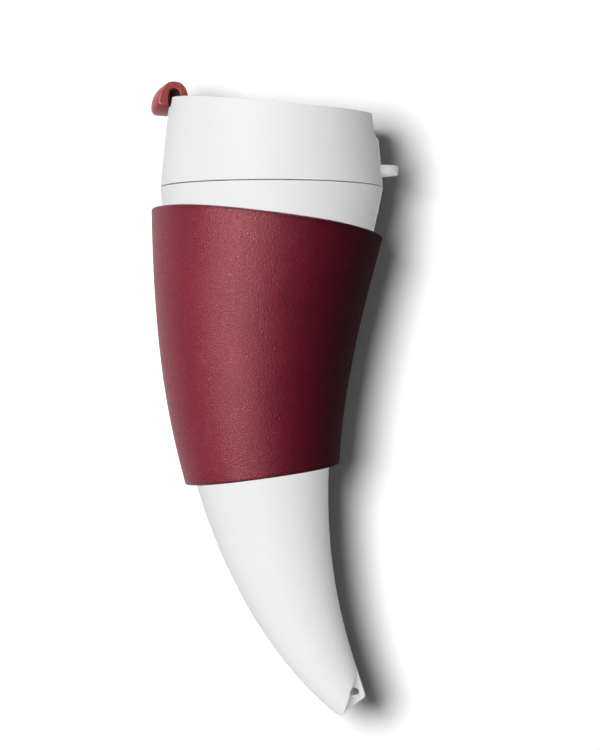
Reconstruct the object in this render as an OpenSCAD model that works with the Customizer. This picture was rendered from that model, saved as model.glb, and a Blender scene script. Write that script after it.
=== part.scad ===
// Horn drinking cup: a curved hollow horn, a screw lid with a flip stopper, and a slip-on leather sleeve.
// The origin is the centre of the mouth, in the plane of the shoulder that the lid closes on.
// +Z runs up the lid's axis, and the horn curves round towards +X.

/* [Horn] */
// Length of the horn's axis, from the shoulder to the cut end of the tip
horn_length = 193.7; // [170:0.1:230]
// Outside diameter at the shoulder, and of the lid above it
mouth_d = 80; // [74:0.5:90]
// Outside diameter at the cut end of the tip
tip_d = 11.6; // [10.5:0.1:14]
// Thickness of the horn's wall
horn_wall = 2.2; // [1.8:0.1:2.8]
// Lean of the axis at the shoulder, away from the side that the tip curves to, in degrees
mouth_lean = 7.3; // [4:0.1:9]
// Turn of the axis from the shoulder to the tip, in degrees
horn_bend = 44.4; // [30:0.2:52]
// How late along the axis the bend comes
bend_power = 1.73; // [1.5:0.01:2]
// How long the horn keeps its width, where 1 is a straight cone
taper_power = 0.82; // [0.75:0.01:0.95]
// Solid length of the tip, past the end of the hollow
tip_solid = 26; // [22:0.5:40]
// Bevel of the shoulder's and the tip's outer edges
horn_edge = 0.7; // [0.3:0.1:1]

/* [Strap hole] */
// Diameter of the strap hole in the tip
strap_hole_d = 3.2; // [2.5:0.1:3.6]
// Distance of the strap hole from the cut end, along the axis
strap_hole_inset = 3.6; // [3.2:0.1:5]
// Distance of the strap hole from the axis, towards the inside of the curve
strap_hole_offset = 3.45; // [2.6:0.05:3.8]
// Thickness of the flat web round the strap hole
web_t = 4; // [2.5:0.1:6]
// Distance from the strap hole's edge to the web's root
web_root = 0.1; // [0.05:0.05:1]
// Angle between the web's root and the axis, in degrees
web_angle = 54; // [45:1:65]

/* [Neck] */
// Width of the shoulder's ledge outside the neck
ledge_w = 5.8; // [5.4:0.1:7]
// Thickness of the ledge
ledge_t = 2.2; // [1.6:0.1:3]
// Height of the neck above the shoulder
neck_h = 10; // [9:0.5:12]
// Thickness of the neck's wall
neck_wall = 2.2; // [1.8:0.1:3]
// Rise of the thread in one turn
thread_lead = 5; // [4.5:0.1:6]
// Height of the thread's ridge off its wall
thread_h = 0.9; // [0.6:0.1:1]
// Width of the thread's ridge, half way up its flanks
thread_w = 1.8; // [1.5:0.1:2]
// Gap between the neck's thread and the lid's, across the axis
thread_clear = 0.3; // [0.25:0.05:0.4]

/* [Lid] */
// Height of the lid's rim over the shoulder, at the axis
lid_h = 28.9; // [28:0.1:36]
// Slant of the rim, high on the drinking side, in degrees
lid_tilt = 4.8; // [2:0.1:6]
// Radius of the rim's crown, seen from the drinking side
rim_crown_r = 515; // [400:5:900]
// Seam between the lid and the shoulder
lid_seam = 0.8; // [0.5:0.1:1.2]
// Lean of the lid's wall at its foot, in degrees
lid_draft = 4; // [2:0.1:5]
// Radius of the wall's bow, seen from the side
lid_bow_r = 385; // [350:5:800]
// Thickness of the rim's wall
rim_wall = 2.2; // [1.6:0.1:2.6]
// Depth of the deck below the rim
deck_depth = 8.6; // [8.4:0.1:9.5]
// Thickness of the deck
deck_t = 2.2; // [1.6:0.1:3]
// Depth of the rim's notch on the drinking side
front_notch_depth = 3.4; // [2:0.1:5]
// Depth of the rim's notch that takes the opened hook
back_notch_depth = 8.3; // [8.2:0.1:8.4]
// Width of the notch that takes the opened hook
back_notch_w = 21; // [19:0.5:24]
// Diameter of the drink hole
drink_hole_d = 10.4; // [9:0.2:12]
// Distance of the drink hole's centre from the rim's inner wall
drink_hole_inset = 10; // [9:0.2:12]
// Diameter of the vent
vent_d = 2; // [1.5:0.1:3]
// Distance of the vent's centre from the rim's inner wall
vent_inset = 14; // [10:0.5:20]

/* [Lid collar] */
// Thickness of the collar's wall
collar_wall = 1.6; // [1.2:0.1:1.8]
// Thickness of the flange over the gasket
flange_t = 2; // [1.5:0.1:2.5]
// Width of the flange over the gasket
flange_w = 5.4; // [4.5:0.1:6.5]
// Thickness of the gasket
gasket_t = 2; // [1.5:0.1:2.5]

/* [Strap eye] */
// Reach of the strap eye past the lid's foot
eye_reach = 5.6; // [5:0.1:7]
// Height of the strap eye's underside over the shoulder
eye_z = 4.5; // [3:0.1:6]
// Thickness of the strap eye
eye_t = 3.4; // [2.5:0.1:4]
// Width of the strap eye where it leaves the lid
eye_w = 15; // [12:0.5:18]
// Diameter of the hole in the strap eye
eye_hole_d = 3.2; // [2.5:0.1:3.4]

/* [Flip stopper] */
// Width of the arm at the hook
arm_w = 17; // [15:0.5:18]
// Thickness of the arm
arm_t = 3; // [2.5:0.1:3.4]
// Height of the hinge's axis below the rim
hinge_drop = 1.1; // [1:0.05:1.2]
// Diameter of the arm's hinge barrel
barrel_d = 5; // [4.6:0.1:5.4]
// Length of the arm's hinge barrel
barrel_w = 9.6; // [8:0.2:11]
// Thickness of each hinge lug
lug_t = 3; // [2.4:0.1:4]
// Diameter of the hinge pin
pin_d = 2.2; // [1.8:0.1:2.6]
// Inside radius of the hook
hook_gap_r = 2; // [1.8:0.05:2.2]
// Thickness of the hook's band
hook_t = 2.4; // [2:0.1:2.6]
// Height of the hook's top over the rim
hook_rise = 5.7; // [5.2:0.1:5.8]
// Distance of the hook's middle inside the middle of the rim's wall
hook_in = 0.5; // [0.3:0.05:0.7]
// Depth of the thumb tongue below the rim
tongue_drop = 6.3; // [5.5:0.1:7]
// Thickness of the thumb tongue at its middle
tongue_t = 6.4; // [6:0.1:7]
// Distance that the tongue's sides fall back behind its middle
tongue_bow = 3.1; // [2:0.1:3.5]
// Distance that the tongue's sides end above its middle
tongue_round = 3.3; // [2.5:0.1:4]
// Rounding of the tongue's lower edge
tongue_edge = 2.2; // [1:0.1:2.6]
// Width of the rib that fills the middle of the hook
hook_rib_w = 8; // [5:0.5:11]
// Diameter of the plug's sealing flange
plug_flange_d = 15; // [14:0.2:17]
// Thickness of the plug's sealing flange
plug_flange_t = 1.2; // [0.8:0.1:1.6]
// Diameter of the plug's stem in the arm
plug_stem_d = 5; // [4:0.1:6]

/* [Sleeve] */
// Distance of the sleeve's top edge from the shoulder, along the axis
sleeve_start = 12.6; // [11:0.1:18]
// Length of the sleeve along the axis
sleeve_length = 91; // [80:1:100]
// Gap between the horn and the lining
sleeve_gap = 0.3; // [0.25:0.05:0.5]
// Thickness of the lining
lining_t = 1.2; // [0.8:0.1:2]
// Thickness of the leather
leather_t = 2.3; // [1.5:0.1:3]
// Rounding of the leather's edges
leather_edge = 0.8; // [0.4:0.1:1]
// Rounding of the lining's edges
lining_edge = 0.3; // [0.2:0.1:0.6]
// Distance that the lining ends inside the leather's edges
lining_inset = 0.8; // [0.4:0.1:1.5]
// Opening of the seam at the back
seam_w = 1; // [0.6:0.1:1.6]
// Thickness of the seam's thread
thread_d = 0.9; // [0.6:0.1:1.2]
// Length of one stitch across the seam
stitch_w = 7; // [5:0.5:9]
// Distance between stitches along the seam
stitch_pitch = 5; // [4:0.2:8]
// Slant of each stitch, in degrees
stitch_slant = 24; // [0:1:35]

/* [Hidden] */
$fn = 96;

// Clearances and overruns
cut_over = 1;
press_clear = 0.01;
run_clear = 0.05;
soft_clear = 0.05;
plug_clear = 0.3;
rib_clear = 0.6;
tongue_clear = 0.35;
lining_clear = 0.06;
side_clear = 0.5;
root_sink = 0.5;
arm_rise = 0.5;

// Sides of the horn's rings, rings along it, and steps that its axis is summed in
ring_sides = 48;
outer_rings = 32;
inner_rings = 22;
cap_rings = 4;
axis_steps = 240;
sleeve_rings = 14;
turn_steps = 40;
bow_steps = 12;
arc_steps = 12;
crown_sides = 720;
// Share of the axis over which the rings tip from level to square with the axis
level_share = 0.06;
// The plug's taper over the deck's thickness, its neck over its flange, and its head over its stem
plug_taper_share = 0.6;
plug_neck_share = 0.6;
plug_head_share = 1.4;

white = "whitesmoke";
red = "firebrick";
wine = "#7d1b2e";

// Sizes that the neck, the collar and the lid share
mouth_r = mouth_d / 2;
tip_r = tip_d / 2;
neck_r = mouth_r - ledge_w;
collar_r = neck_r + thread_h + thread_clear;
collar_top = neck_h + gasket_t + flange_t;
cover_bore_r = collar_r + collar_wall;
lid_tall = lid_h + mouth_r;

// Sizes that the lid's top and the stopper share, measured from the rim's plane
rim_r = lid_radius(lid_h + mouth_r * sin(lid_tilt));
hook_x = rim_r - rim_wall / 2 - hook_in;
drink_hole_x = rim_r - rim_wall - drink_hole_inset;
vent_x = rim_r - rim_wall - vent_inset;
hook_r = hook_gap_r + hook_t;
hook_z = hook_rise - hook_r;
tongue_x = hook_x + hook_gap_r + tongue_t;
arm_floor = arm_rise - hinge_drop - barrel_d / 2;
arm_top = arm_floor + arm_t;
leg_x = hook_x - hook_gap_r;
leg_foot_x = leg_x - hook_t;
lug_gap = barrel_w + 2 * side_clear;
lug_r = barrel_d / 2;
front_notch_w = arm_w + 2 * side_clear;
notch_corner_r = 3;
front_corner_r = 1.5;
plug_r = drink_hole_d / 2 - plug_clear;
plug_tip_r = plug_r - deck_t * plug_taper_share;
plug_neck_r = plug_flange_d * plug_neck_share / 2;
plug_head_r = plug_stem_d * plug_head_share / 2;
eye_x = mouth_r + eye_reach / 2;

// The horn's axis: its angle, its points and its radius at a share of its length
function lean(u) = -mouth_lean + horn_bend * pow(u, bend_power);
function horn_radius(u) = tip_r + (mouth_r - tip_r) * pow(1 - min(u, 1), taper_power);
function axis_step(i) =
    let (a = lean((i + 1 / 2) / axis_steps)) [sin(a), 0, -cos(a)] * horn_length / axis_steps;
axis_points = [for (i = 0, p = [0, 0, 0]; i <= axis_steps; p = p + axis_step(i), i = i + 1) p];
function axis_point(u) =
    let (k = min(floor(u * axis_steps), axis_steps - 1), f = u * axis_steps - k)
    axis_points[k] * (1 - f) + axis_points[k + 1] * f;
function ring_angle(u) = lean(u) * min(u / level_share, 1);

// One point of a ring round the axis, at the side angle t
function ring_point(u, r, t) =
    axis_point(u) + r * [cos(t) * cos(ring_angle(u)), sin(t), cos(t) * sin(ring_angle(u))];
function ring(u, r) = [for (j = [0 : ring_sides - 1]) ring_point(u, r, 360 * j / ring_sides)];

// The lid's outer radius at a height over the shoulder
function lid_radius(z) = mouth_r - z * tan(lid_draft) - z * z / (2 * lid_bow_r);

// Sides of a stack of loops of n points each, closed round
function side_faces(loops, n) = [
    for (i = [0 : loops - 2], j = [0 : n - 1], half = [0, 1])
        let (a = i * n + j, b = i * n + (j + 1) % n, c = b + n, d = a + n)
        half == 0 ? [a, b, c] : [a, c, d]
];

// Points along an arc round c, from one angle to another
function arc(c, r, from, to) = [
    for (k = [0 : arc_steps])
        let (a = from + (to - from) * k / arc_steps)
        c + r * [cos(a), sin(a)]
];

// Flattens a list of lists by one level
function flat(lists) = [for (l = lists) for (x = l) x];

// Places what is drawn in the horn's own axes at a share of its length: X inwards of the curve, Z back up
module on_axis(u) {
    translate(axis_point(u)) rotate([0, -lean(u), 0]) children();
}

// Places what is drawn from the slanted rim's plane, with the drinking side at -X
module on_rim() {
    translate([0, 0, lid_h]) rotate([0, lid_tilt, 0]) children();
}

// A cylinder along Y, centred
module cross_cylinder(d, w) {
    rotate([90, 0, 0]) cylinder(d = d, h = w, center = true);
}

// The horn's shell as one stack of rings: up the inside from the end of the hollow, then down the outside
module horn_shell() {
    hollow_end = 1 - tip_solid / horn_length;
    end_r = horn_radius(hollow_end) - horn_wall;
    cap_start = hollow_end - end_r / horn_length;
    edge_share = horn_edge / horn_length;
    cap = [
        for (k = [1 : cap_rings])
            let (a = 90 * k / (cap_rings + 1), u = cap_start + cos(a) * end_r / horn_length)
            ring(u, sin(a) * (horn_radius(u) - horn_wall))
    ];
    inside = [
        for (k = [inner_rings : -1 : 0])
            let (u = cap_start * k / inner_rings)
            ring(u, horn_radius(u) - horn_wall)
    ];
    outside = [
        for (k = [0 : outer_rings])
            let (u = edge_share + (1 - 2 * edge_share) * k / outer_rings)
            ring(u, horn_radius(u))
    ];
    rings = concat(cap, inside, [ring(0, mouth_r - horn_edge)], outside, [ring(1, tip_r - horn_edge)]);
    count = len(rings);
    first = [for (j = [ring_sides - 1 : -1 : 0]) j];
    last = [for (j = [0 : ring_sides - 1]) (count - 1) * ring_sides + j];
    polyhedron(flat(rings), concat([first], side_faces(count, ring_sides), [last]));
}

// A thread's ridge on a wall of radius r, outwards with way 1 and inwards with way -1, from z_low to z_high
module thread_ridge(r, way, z_low, z_high, shift) {
    foot = (thread_w + thread_h) / 2 + root_sink;
    crest = (thread_w - thread_h) / 2;
    section = [[-root_sink, -foot], [thread_h, -crest], [thread_h, crest], [-root_sink, foot]];
    turn_low = 360 * (z_low + foot - shift) / thread_lead;
    turn_high = 360 * (z_high - foot - shift) / thread_lead;
    steps = ceil(turn_steps * (turn_high - turn_low) / 360);
    n = len(section);
    points = [
        for (i = [0 : steps])
            let (a = turn_low + (turn_high - turn_low) * i / steps)
            for (p = section)
                let (rho = r + way * p[0])
                [rho * cos(a), rho * sin(a), shift + thread_lead * a / 360 + p[1]]
    ];
    first = [for (j = [n - 1 : -1 : 0]) j];
    last = [for (j = [0 : n - 1]) steps * n + j];
    faces = concat([first], side_faces(steps + 1, n), [last]);
    polyhedron(points, way > 0 ? faces : [for (f = faces) [for (k = [len(f) - 1 : -1 : 0]) f[k]]]);
}

// The neck and the ledge that joins it to the shell
module neck() {
    join_r = mouth_r - horn_wall / 2;
    low = -horn_edge - ledge_t;
    rotate_extrude() polygon([
        [neck_r - neck_wall, low], [join_r, low], [join_r, -horn_edge / 2],
        [neck_r, -horn_edge / 2], [neck_r, neck_h], [neck_r - neck_wall, neck_h]
    ]);
    thread_ridge(neck_r, 1, root_sink, neck_h - root_sink, 0);
}

// What is cut from both sides of the tip to leave the flat web
module web_cuts() {
    reach = tip_d + tip_solid;
    for (side = [-1, 1])
        translate([reach / 2 - web_root - strap_hole_d / 2, side * (web_t + reach) / 2, 0])
            cube([reach, reach, 2 * reach], center = true);
}

module horn_cup() {
    color(white) difference() {
        union() {
            horn_shell();
            neck();
        }
        on_axis(1) translate([strap_hole_offset, 0, strap_hole_inset]) {
            cross_cylinder(strap_hole_d, tip_d + 2 * cut_over);
            rotate([0, web_angle, 0]) web_cuts();
        }
    }
}

// The lid's outside as a full turned body, taller than the slanted rim
module lid_body(wall, low) {
    heights = [for (k = [0 : bow_steps]) low + (lid_tall - low) * k / bow_steps];
    rotate_extrude() polygon(concat(
        [[0, low]],
        [for (z = heights) [lid_radius(z) - wall, z]],
        [[0, lid_tall]]
    ));
}

// Everything above a plane at a height from the rim's plane
module above_rim(z) {
    on_rim() translate([-mouth_d, -mouth_d, z]) cube([2 * mouth_d, 2 * mouth_d, 2 * mouth_d]);
}

// Everything above the rim's crown, which falls away to both sides of the middle plane
module above_crown() {
    on_rim() difference() {
        translate([-mouth_d, -mouth_d, -mouth_r]) cube([2 * mouth_d, 2 * mouth_d, 2 * mouth_d]);
        translate([0, 0, -rim_crown_r]) rotate([0, 90, 0])
            cylinder(r = rim_crown_r, h = 3 * mouth_d, center = true, $fn = crown_sides);
    }
}

// A notch with round lower corners, cut through the rim on one side
module rim_notch(side, w, depth, corner_r) {
    reach = eye_reach + mouth_r;
    on_rim() scale([side, 1, 1]) translate([hook_x - 2 * hook_r, 0, -depth]) {
        translate([0, -w / 2, corner_r]) cube([reach, w, lid_h]);
        translate([0, corner_r - w / 2, 0]) cube([reach, w - 2 * corner_r, lid_h]);
        for (y = [corner_r - w / 2, w / 2 - corner_r])
            translate([0, y, corner_r]) rotate([0, 90, 0]) cylinder(r = corner_r, h = reach);
    }
}

// The two lugs on the deck that carry the hinge pin
module hinge_lugs() {
    on_rim() for (side = [-1, 1])
        translate([0, side * (lug_gap + lug_t) / 2, 0]) {
            translate([0, 0, -hinge_drop]) cross_cylinder(2 * lug_r, lug_t);
            translate([-lug_r, -lug_t / 2, -deck_depth - deck_t / 2])
                cube([2 * lug_r, lug_t, deck_depth + deck_t / 2 - hinge_drop]);
        }
}

// The strap eye on the side that the tip curves to
module strap_eye() {
    back_x = cover_bore_r + rim_wall / 2;
    long_r = mouth_r + eye_reach - back_x;
    translate([back_x, 0, eye_z]) linear_extrude(eye_t) polygon([
        for (k = [0 : ring_sides])
            let (a = 180 * k / ring_sides - 90)
            [long_r * cos(a), sin(a) * eye_w / 2]
    ]);
}

module lid_cover() {
    color(white) difference() {
        union() {
            difference() {
                lid_body(0, lid_seam);
                above_crown();
                intersection() {
                    lid_body(rim_wall, lid_seam);
                    above_rim(-deck_depth);
                }
                cylinder(r = cover_bore_r + press_clear, h = collar_top);
                difference() {
                    cylinder(r = collar_r, h = lid_h);
                    above_rim(-deck_depth - deck_t);
                }
                rim_notch(-1, front_notch_w, front_notch_depth, front_corner_r);
                rim_notch(1, back_notch_w, back_notch_depth, notch_corner_r);
            }
            hinge_lugs();
            strap_eye();
        }
        on_rim() {
            translate([0, 0, -hinge_drop]) cross_cylinder(pin_d + 2 * press_clear, lug_gap + 4 * lug_t);
            translate([-drink_hole_x, 0, -deck_depth - deck_t - cut_over])
                cylinder(d = drink_hole_d, h = deck_t + 2 * cut_over);
            translate([vent_x, 0, -deck_depth - deck_t - cut_over])
                cylinder(d = vent_d, h = deck_t + 2 * cut_over);
        }
        translate([eye_x, 0, eye_z - cut_over]) cylinder(d = eye_hole_d, h = eye_t + 2 * cut_over);
    }
}

module lid_collar() {
    low = lid_seam + horn_edge;
    color(white) union() {
        rotate_extrude() polygon([
            [collar_r, low], [cover_bore_r, low], [cover_bore_r, collar_top],
            [collar_r - flange_w, collar_top], [collar_r - flange_w, collar_top - flange_t],
            [collar_r, collar_top - flange_t]
        ]);
        thread_ridge(collar_r, -1, low + root_sink, neck_h, -thread_w);
    }
}

module lid_gasket() {
    inner_r = neck_r - neck_wall;
    outer_r = collar_r - thread_clear;
    color("gainsboro") rotate_extrude()
        translate([inner_r, neck_h]) square([outer_r - inner_r, gasket_t]);
}

// The side view of the arm and its hook, with X towards the hinge and Y up from the rim's plane
module arm_profile() {
    bulge_r = tongue_x - hook_x;
    polygon(concat(
        arc([tongue_edge - tongue_x, tongue_edge - tongue_drop], tongue_edge, 270, 180),
        arc([-hook_x, hook_rise - bulge_r], bulge_r, 180, 90),
        arc([-hook_x, hook_z], hook_r, 90 - 90 / arc_steps, 0),
        [[hook_t - leg_foot_x, arm_top], [0, arm_top], [0, arm_floor], [hook_t / 2 - leg_x, arm_floor]],
        arc([-hook_x, hook_z], hook_gap_r, 0, 180),
        [[-hook_x - hook_gap_r, -tongue_drop]]
    ));
}

// The top view of the arm: narrow between the lugs, wide at the hook, with a bowed tongue
module arm_plan() {
    bow_r = (pow(arm_w / 2, 2) + pow(tongue_bow, 2)) / (2 * tongue_bow);
    bow_angle = asin(arm_w / 2 / bow_r);
    narrow = barrel_w / 2 - side_clear;
    narrow_x = -barrel_d;
    wide_x = narrow_x - (arm_w - barrel_w);
    polygon(concat(
        [[0, -narrow], [0, narrow], [narrow_x, narrow], [wide_x, arm_w / 2]],
        arc([bow_r - tongue_x, 0], bow_r, 180 - bow_angle, 180 + bow_angle),
        [[wide_x, -arm_w / 2], [narrow_x, -narrow]]
    ));
}

// The rib in the middle of the hook, clear of the notch below it
module hook_rib() {
    floor_z = rib_clear - front_notch_depth;
    rib_t = 2 * (hook_gap_r + root_sink);
    translate([-hook_x - rib_t / 2, -hook_rib_w / 2, floor_z])
        cube([rib_t, hook_rib_w, hook_z + hook_gap_r - floor_z]);
}

// The end view of the arm: the tongue's round lower edge
module arm_round() {
    round_r = (pow(arm_w / 2, 2) + pow(tongue_round, 2)) / (2 * tongue_round);
    translate([-2 * tongue_x, 0, round_r - tongue_drop])
        rotate([0, 90, 0]) cylinder(r = round_r, h = 3 * tongue_x);
}

// The room that the lid's wall takes below the notch, which the tongue's inner face keeps clear of
module wall_room() {
    difference() {
        lid_body(-tongue_clear, lid_seam);
        lid_body(rim_wall, lid_seam);
        above_rim(rib_clear - front_notch_depth);
    }
}

module flip_arm() {
    color(red) difference() {
        on_rim() union() {
            intersection() {
                rotate([90, 0, 0]) linear_extrude(2 * arm_w, center = true) arm_profile();
                translate([0, 0, -lid_h]) linear_extrude(2 * lid_h) arm_plan();
                arm_round();
            }
            hook_rib();
            translate([0, 0, -hinge_drop]) cross_cylinder(barrel_d, barrel_w);
        }
        on_rim() {
            translate([0, 0, -hinge_drop]) cross_cylinder(pin_d + 2 * run_clear, barrel_w + 2 * cut_over);
            translate([-drink_hole_x, 0, arm_floor - cut_over])
                cylinder(d = plug_stem_d + 2 * soft_clear, h = arm_t + 2 * cut_over);
        }
        wall_room();
    }
}

module drink_plug() {
    flange_top = plug_flange_t - deck_depth;
    color("#8c2f2b") on_rim() translate([-drink_hole_x, 0, 0]) rotate_extrude() polygon([
        [0, -deck_depth - deck_t], [plug_tip_r, -deck_depth - deck_t], [plug_r, -deck_depth],
        [plug_flange_d / 2, -deck_depth], [plug_flange_d / 2, flange_top], [plug_neck_r, flange_top],
        [plug_neck_r, arm_floor], [plug_stem_d / 2, arm_floor], [plug_stem_d / 2, arm_top],
        [plug_head_r, arm_top], [plug_stem_d / 2, arm_top + plug_flange_t], [0, arm_top + plug_flange_t]
    ]);
}

module hinge_pin() {
    color("silver") on_rim() translate([0, 0, -hinge_drop]) cross_cylinder(pin_d, lug_gap + 2 * lug_t);
}

// A wrap round the horn, split at the back, from a depth in to a depth out, with bevelled outer edges
module wrap(start, length, inner, outer, edge) {
    open_at = 360 * seam_w / (2 * PI * mouth_d);
    angles = concat(
        [90 + open_at],
        [for (j = [1 : ring_sides - 1]) 90 + 360 * j / ring_sides],
        [450 - open_at]
    );
    m = len(angles);
    places = concat(
        [[start, outer - edge], [start + edge, outer]],
        [for (k = [1 : sleeve_rings - 1]) [start + length * k / sleeve_rings, outer]],
        [[start + length - edge, outer], [start + length, outer - edge]]
    );
    points = flat([
        for (p = places)
            let (u = p[0] / horn_length, r = horn_radius(u))
            concat(
                [for (t = angles) ring_point(u, r + p[1], t)],
                [for (k = [m - 1 : -1 : 0]) ring_point(u, r + inner, angles[k])]
            )
    ]);
    n = 2 * m;
    last = (len(places) - 1) * n;
    top = [for (k = [0 : m - 2]) [n - 1 - k, n - 2 - k, k + 1, k]];
    bottom = [for (k = [0 : m - 2]) [last + k, last + k + 1, last + n - 2 - k, last + n - 1 - k]];
    polyhedron(points, concat(top, side_faces(len(places), n), bottom));
}

module sleeve_leather() {
    inner = sleeve_gap + lining_t + lining_clear;
    color(wine) wrap(sleeve_start, sleeve_length, inner, inner + leather_t, leather_edge);
}

module sleeve_lining() {
    color("#4a1420")
        wrap(sleeve_start + lining_inset, sleeve_length - 2 * lining_inset,
            sleeve_gap, sleeve_gap + lining_t, lining_edge);
}

module seam_thread() {
    margin = stitch_pitch;
    count = floor((sleeve_length - 2 * margin) / stitch_pitch);
    lift = sleeve_gap + lining_t + lining_clear + leather_t + thread_d / 2 + soft_clear;
    color("#5c1522") for (k = [0 : count]) {
        u = (sleeve_start + margin + (sleeve_length - 2 * margin) * k / count) / horn_length;
        on_axis(u) translate([0, horn_radius(u) + lift, 0]) rotate([0, 90 + stitch_slant, 0])
            cylinder(d = thread_d, h = stitch_w, center = true);
    }
}

horn_cup();
lid_cover();
lid_collar();
lid_gasket();
flip_arm();
drink_plug();
hinge_pin();
sleeve_leather();
sleeve_lining();
seam_thread();
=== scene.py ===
"""Looks of a horn drinking cup: a white horn, a screw lid with a flip stopper, and a leather sleeve.

Lengths are in metres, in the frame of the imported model: the origin is the middle of the mouth, +Z runs up
the lid's axis, the horn curves towards +X, and the camera looks along +Y.
"""
import math

import bmesh
import bpy
from mathutils import Matrix, Vector, noise


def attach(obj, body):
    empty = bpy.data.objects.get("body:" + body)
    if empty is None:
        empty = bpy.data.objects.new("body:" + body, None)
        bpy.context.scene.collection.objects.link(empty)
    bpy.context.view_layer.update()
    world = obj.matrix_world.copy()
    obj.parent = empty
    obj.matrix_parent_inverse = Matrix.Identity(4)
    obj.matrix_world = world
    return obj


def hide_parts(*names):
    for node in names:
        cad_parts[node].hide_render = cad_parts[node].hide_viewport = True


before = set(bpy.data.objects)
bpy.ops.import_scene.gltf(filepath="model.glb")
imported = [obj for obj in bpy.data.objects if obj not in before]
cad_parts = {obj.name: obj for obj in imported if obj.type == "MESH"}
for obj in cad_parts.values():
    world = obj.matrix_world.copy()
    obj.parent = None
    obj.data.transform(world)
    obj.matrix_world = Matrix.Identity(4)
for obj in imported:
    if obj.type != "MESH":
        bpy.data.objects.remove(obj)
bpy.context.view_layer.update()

MM = 0.001

# The horn
HORN_LENGTH = 193.7 * MM
MOUTH_R = 40 * MM
TIP_R = 5.8 * MM
HORN_WALL = 2.2 * MM
HORN_EDGE = 0.7 * MM
SHOULDER_ROUND = 0.4 * MM
TIP_ROUND = 0.4 * MM
TIP_SOLID = 26 * MM
MOUTH_LEAN = math.radians(7.3)
HORN_BEND = math.radians(44.4)
BEND_POWER = 1.73
TAPER_POWER = 0.82
LEVEL_SHARE = 0.06
AXIS_STEPS = 240

# The tip's flat web and its strap hole
STRAP_HOLE_R = 1.6 * MM
STRAP_HOLE_INSET = 3.6 * MM
STRAP_HOLE_OFFSET = 3.45 * MM
STRAP_HOLE_FLARE = 0.2 * MM
WEB_T = 4 * MM
WEB_ROOT = 0.1 * MM
WEB_ANGLE = math.radians(54)
WEB_FILLET = 0.8 * MM

# The neck and its thread
NECK_R = 34.2 * MM
NECK_BORE_R = 32 * MM
NECK_H = 10 * MM
LEDGE_LOW = -2.9 * MM
THREAD_LEAD = 5 * MM
THREAD_H = 0.9 * MM
THREAD_W = 1.8 * MM
THREAD_SINK = 0.5 * MM
THREAD_ROUND = 0.12 * MM
NECK_THREAD = (math.radians(169), math.radians(551))
COLLAR_THREAD = (math.radians(407), math.radians(716))

# The lid
LID_H = 28.9 * MM
LID_TILT = math.radians(4.8)
RIM_CROWN_R = 515 * MM
LID_SEAM = 0.3 * MM
LID_DRAFT = math.radians(4)
LID_BOW_R = 385 * MM
RIM_WALL = 2.2 * MM
RIM_ROUND = 0.7 * MM
LID_FOOT_ROUND = 0.25 * MM
DECK_DEPTH = 8.6 * MM
DECK_T = 2.2 * MM
FRONT_NOTCH_DEPTH = 3.4 * MM
FRONT_NOTCH_W = 18 * MM
FRONT_CORNER_R = 1.5 * MM
BACK_NOTCH_DEPTH = 8.3 * MM
BACK_NOTCH_W = 21 * MM
BACK_CORNER_R = 3 * MM
DRINK_HOLE_R = 5.2 * MM
DRINK_HOLE_INSET = 10 * MM
DRINK_HOLE_FLARE = 0.4 * MM
VENT_R = 1 * MM
VENT_INSET = 14 * MM
VENT_FLARE = 0.3 * MM
COLLAR_R = 35.4 * MM
COVER_BORE_R = 37 * MM
COLLAR_TOP = 14 * MM
COLLAR_LOW = 1.5 * MM
COLLAR_ROUND = 0.25 * MM
FLANGE_T = 2 * MM
FLANGE_W = 5.4 * MM
GASKET_T = 2 * MM
GASKET_R = 35.1 * MM
GASKET_ROUND = 0.4 * MM
EYE_REACH = 5.6 * MM
EYE_Z = 4.5 * MM
EYE_T = 3.4 * MM
EYE_W = 15 * MM
EYE_HOLE_R = 1.6 * MM
EYE_FLARE = 0.4 * MM
EYE_ROUND = 0.9 * MM

# The flip stopper, measured from the rim's plane
ARM_W = 17 * MM
ARM_T = 3 * MM
HINGE_DROP = 1.1 * MM
BARREL_R = 2.5 * MM
BARREL_W = 9.6 * MM
LUG_T = 3 * MM
HINGE_ROUND = 0.3 * MM
SIDE_CLEAR = 0.5 * MM
PIN_R = 1.1 * MM
PIN_ROUND = 0.2 * MM
PIN_FIT = 0.02 * MM
PIN_CLEAR = 0.05 * MM
PIN_HOLE_FLARE = 0.15 * MM
HOOK_GAP_R = 2 * MM
HOOK_T = 2.4 * MM
HOOK_RISE = 5.7 * MM
HOOK_IN = 0.5 * MM
HOOK_RIB_W = 3 * MM
RIB_CLEAR = 0.6 * MM
TONGUE_DROP = 6.3 * MM
TONGUE_T = 6.4 * MM
TONGUE_EDGE = 2.2 * MM
TONGUE_CLEAR = 0.35 * MM
TONGUE_BOW = 3.1 * MM
TONGUE_ROUND = 3.3 * MM
ARM_RISE = 0.5 * MM
ARM_ROUND = 0.5 * MM
PLUG_FLANGE_R = 7.5 * MM
PLUG_FLANGE_T = 1.2 * MM
PLUG_NECK_R = 4.5 * MM
PLUG_STEM_R = 2.5 * MM
PLUG_HEAD_R = 3.5 * MM
PLUG_R = 4.9 * MM
PLUG_TIP_R = 3.58 * MM
PLUG_ROUND = 0.25 * MM

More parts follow.
